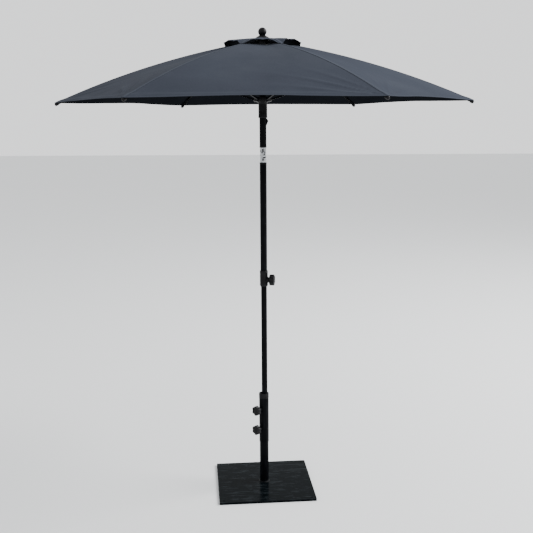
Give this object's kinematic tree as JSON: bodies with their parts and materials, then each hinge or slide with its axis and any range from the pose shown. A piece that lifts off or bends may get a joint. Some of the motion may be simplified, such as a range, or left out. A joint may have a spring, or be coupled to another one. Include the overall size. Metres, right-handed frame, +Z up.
{
  "type": "patio umbrella",
  "caption": "Six-sided garden parasol with vented top, tilt joint and sliding runner, on a two-part pole clamped in a square steel base plate with a socket tube",
  "frame": {"origin": "on the floor, on the axis of the pole", "axes": "+Z up along the pole, +X along the first rib, -Y towards the side where the clamp knobs of the base stand to the left"},
  "size_m": [1.9288, 1.673, 2.1885],
  "materials": {
    "powder_coat_black": "semi-gloss black powder coat",
    "plate_coat": "semi-gloss dark grey powder coat with scuffs",
    "black_plastic": "fine-grained black nylon",
    "zinc_casting": "bright cast zinc",
    "plated_steel": "zinc-plated steel",
    "cloth": "plain-woven slate grey polyester"
  },
  "bodies": {
    "root": {"base_plate": "plate_coat", "base_weld": "powder_coat_black", "base_tube": "powder_coat_black", "base_sleeve": "powder_coat_black", "base_cap": "black_plastic", "clamp_nut_1": "powder_coat_black", "clamp_nut_2": "powder_coat_black"},
    "base_screw_1": {"base_stud_1": "plated_steel"},
    "base_screw_2": {"base_stud_2": "plated_steel"},
    "base_knob_1": {"base_knob_1": "black_plastic"},
    "base_knob_2": {"base_knob_2": "black_plastic"},
    "pole_foot": {"pole_plug": "black_plastic"},
    "lower_pole": {"lower_pole": "powder_coat_black"},
    "upper_pole": {"upper_tube": "powder_coat_black", "height_collar": "black_plastic", "lower_ferrule": "black_plastic", "tilt_fork": "zinc_casting", "tilt_pin": "plated_steel"},
    "collar_screw": {"collar_stud": "plated_steel"},
    "collar_knob": {"collar_knob": "black_plastic"},
    "top": {"tilt_tongue": "zinc_casting", "upper_ferrule": "black_plastic", "top_tube": "powder_coat_black", "crown_hub": "black_plastic", "crown_ring": "plated_steel", "finial": "black_plastic"},
    "tilt_button": {"tilt_button": "black_plastic"},
    "catch": {"runner_catch": "powder_coat_black"},
    "runner": {"runner": "black_plastic", "runner_ring": "plated_steel"},
    "rib_1": {"rib_1": "powder_coat_black", "rib_tip_1": "black_plastic", "canopy_1": "cloth", "vent_flap_1": "cloth"},
    "strut_1": {"strut_1": "powder_coat_black"},
    "rib_2": {"rib_2": "powder_coat_black", "rib_tip_2": "black_plastic", "canopy_2": "cloth", "vent_flap_2": "cloth"},
    "strut_2": {"strut_2": "powder_coat_black"},
    "rib_3": {"rib_3": "powder_coat_black", "rib_tip_3": "black_plastic", "canopy_3": "cloth", "vent_flap_3": "cloth"},
    "strut_3": {"strut_3": "powder_coat_black"},
    "rib_4": {"rib_4": "powder_coat_black", "rib_tip_4": "black_plastic", "canopy_4": "cloth", "vent_flap_4": "cloth"},
    "strut_4": {"strut_4": "powder_coat_black"},
    "rib_5": {"rib_5": "powder_coat_black", "rib_tip_5": "black_plastic", "canopy_5": "cloth", "vent_flap_5": "cloth"},
    "strut_5": {"strut_5": "powder_coat_black"},
    "rib_6": {"rib_6": "powder_coat_black", "rib_tip_6": "black_plastic", "canopy_6": "cloth", "vent_flap_6": "cloth"},
    "strut_6": {"strut_6": "powder_coat_black"}
  },
  "joints": [
    {"name": "pole_lift", "type": "slide", "parent": "root", "child": "pole_foot", "axis": [0, 0, 1], "range_m": [0, 0.35]},
    {"name": "pole_turn", "type": "hinge", "parent": "pole_foot", "child": "lower_pole", "pos_m": [0, 0, 0.0143], "axis": [0, 0, 1], "continuous": true},
    {"name": "height", "type": "slide", "parent": "lower_pole", "child": "upper_pole", "axis": [0, 0, 1], "range_m": [-0.34, 0.1]},
    {"name": "tilt", "type": "hinge", "parent": "upper_pole", "child": "top", "pos_m": [0, 0, 1.615], "axis": [0.9063, 0.4226, 0], "range_deg": [-35, 0]},
    {"name": "tilt_button_press", "type": "slide", "parent": "top", "child": "tilt_button", "axis": [-0.4226, 0.9063, 0], "range_m": [0, 0.0016], "stiffness_N_per_m": 300, "springref_m": -0.002},
    {"name": "catch_press", "type": "slide", "parent": "top", "child": "catch", "axis": [-1, 0, 0], "range_m": [0, 0.0088], "stiffness_N_per_m": 300, "springref_m": -0.003},
    {"name": "runner_slide", "type": "slide", "parent": "top", "child": "runner", "axis": [0, 0, -1], "range_m": [0, 0.64489]},
    {"name": "base_screw_1_travel", "type": "slide", "parent": "root", "child": "base_screw_1", "axis": [-0.682, -0.7314, 0], "range_m": [0, 0.00251]},
    {"name": "base_knob_1_turn", "type": "hinge", "parent": "base_screw_1", "child": "base_knob_1", "pos_m": [-0.02769, -0.02969, 0.385], "axis": [-0.682, -0.7314, 0], "range_deg": [0, 720]},
    {"name": "base_screw_2_travel", "type": "slide", "parent": "root", "child": "base_screw_2", "axis": [-0.682, -0.7314, 0], "range_m": [0, 0.00251]},
    {"name": "base_knob_2_turn", "type": "hinge", "parent": "base_screw_2", "child": "base_knob_2", "pos_m": [-0.02769, -0.02969, 0.287], "axis": [-0.682, -0.7314, 0], "range_deg": [0, 720]},
    {"name": "collar_screw_travel", "type": "slide", "parent": "upper_pole", "child": "collar_screw", "axis": [0.9903, -0.1392, 0], "range_m": [0, 0.00251]},
    {"name": "collar_knob_turn", "type": "hinge", "parent": "collar_screw", "child": "collar_knob", "pos_m": [0.02555, -0.00359, 1.025], "axis": [0.9903, -0.1392, 0], "range_deg": [0, 720]},
    {"name": "rib_1_fold", "type": "hinge", "parent": "top", "child": "rib_1", "pos_m": [0.03, 0, 2.122], "axis": [0, 1, 0], "range_deg": [0, 72.01], "deforming": ["canopy_1", "vent_flap_1"]},
    {"name": "strut_1_fold", "type": "hinge", "parent": "rib_1", "child": "strut_1", "pos_m": [0.4666, 0, 2.01608], "axis": [0, 1, 0], "range_deg": [-139.8, 0]},
    {"name": "rib_2_fold", "type": "hinge", "parent": "top", "child": "rib_2", "pos_m": [0.015, 0.02598, 2.122], "axis": [-0.866, 0.5, 0], "range_deg": [0, 72.01], "deforming": ["canopy_2", "vent_flap_2"]},
    {"name": "strut_2_fold", "type": "hinge", "parent": "rib_2", "child": "strut_2", "pos_m": [0.2333, 0.40409, 2.01608], "axis": [-0.866, 0.5, 0], "range_deg": [-139.8, 0]},
    {"name": "rib_3_fold", "type": "hinge", "parent": "top", "child": "rib_3", "pos_m": [-0.015, 0.02598, 2.122], "axis": [-0.866, -0.5, 0], "range_deg": [0, 72.01], "deforming": ["canopy_3", "vent_flap_3"]},
    {"name": "strut_3_fold", "type": "hinge", "parent": "rib_3", "child": "strut_3", "pos_m": [-0.2333, 0.40409, 2.01608], "axis": [-0.866, -0.5, 0], "range_deg": [-139.8, 0]},
    {"name": "rib_4_fold", "type": "hinge", "parent": "top", "child": "rib_4", "pos_m": [-0.03, 0, 2.122], "axis": [0, -1, 0], "range_deg": [0, 72.01], "deforming": ["canopy_4", "vent_flap_4"]},
    {"name": "strut_4_fold", "type": "hinge", "parent": "rib_4", "child": "strut_4", "pos_m": [-0.4666, 0, 2.01608], "axis": [0, -1, 0], "range_deg": [-139.8, 0]},
    {"name": "rib_5_fold", "type": "hinge", "parent": "top", "child": "rib_5", "pos_m": [-0.015, -0.02598, 2.122], "axis": [0.866, -0.5, 0], "range_deg": [0, 72.01], "deforming": ["canopy_5", "vent_flap_5"]},
    {"name": "strut_5_fold", "type": "hinge", "parent": "rib_5", "child": "strut_5", "pos_m": [-0.2333, -0.40409, 2.01608], "axis": [0.866, -0.5, 0], "range_deg": [-139.8, 0]},
    {"name": "rib_6_fold", "type": "hinge", "parent": "top", "child": "rib_6", "pos_m": [0.015, -0.02598, 2.122], "axis": [0.866, 0.5, 0], "range_deg": [0, 72.01], "deforming": ["canopy_6", "vent_flap_6"]},
    {"name": "strut_6_fold", "type": "hinge", "parent": "rib_6", "child": "strut_6", "pos_m": [0.2333, -0.40409, 2.01608], "axis": [0.866, 0.5, 0], "range_deg": [-139.8, 0]}
  ],
  "couplings": [
    {"joint": "base_screw_1_travel", "follows": "base_knob_1_turn", "m_per_rad": 0.00019894},
    {"joint": "base_screw_2_travel", "follows": "base_knob_2_turn", "m_per_rad": 0.00019894},
    {"joint": "collar_screw_travel", "follows": "collar_knob_turn", "m_per_rad": 0.00019894},
    {"joint": "rib_1_fold", "follows": "runner_slide", "rad_per_m": 1.9486},
    {"joint": "strut_1_fold", "follows": "runner_slide", "rad_per_m": -3.7832},
    {"joint": "rib_2_fold", "follows": "runner_slide", "rad_per_m": 1.9486},
    {"joint": "strut_2_fold", "follows": "runner_slide", "rad_per_m": -3.7832},
    {"joint": "rib_3_fold", "follows": "runner_slide", "rad_per_m": 1.9486},
    {"joint": "strut_3_fold", "follows": "runner_slide", "rad_per_m": -3.7832},
    {"joint": "rib_4_fold", "follows": "runner_slide", "rad_per_m": 1.9486},
    {"joint": "strut_4_fold", "follows": "runner_slide", "rad_per_m": -3.7832},
    {"joint": "rib_5_fold", "follows": "runner_slide", "rad_per_m": 1.9486},
    {"joint": "strut_5_fold", "follows": "runner_slide", "rad_per_m": -3.7832},
    {"joint": "rib_6_fold", "follows": "runner_slide", "rad_per_m": 1.9486},
    {"joint": "strut_6_fold", "follows": "runner_slide", "rad_per_m": -3.7832}
  ]
}
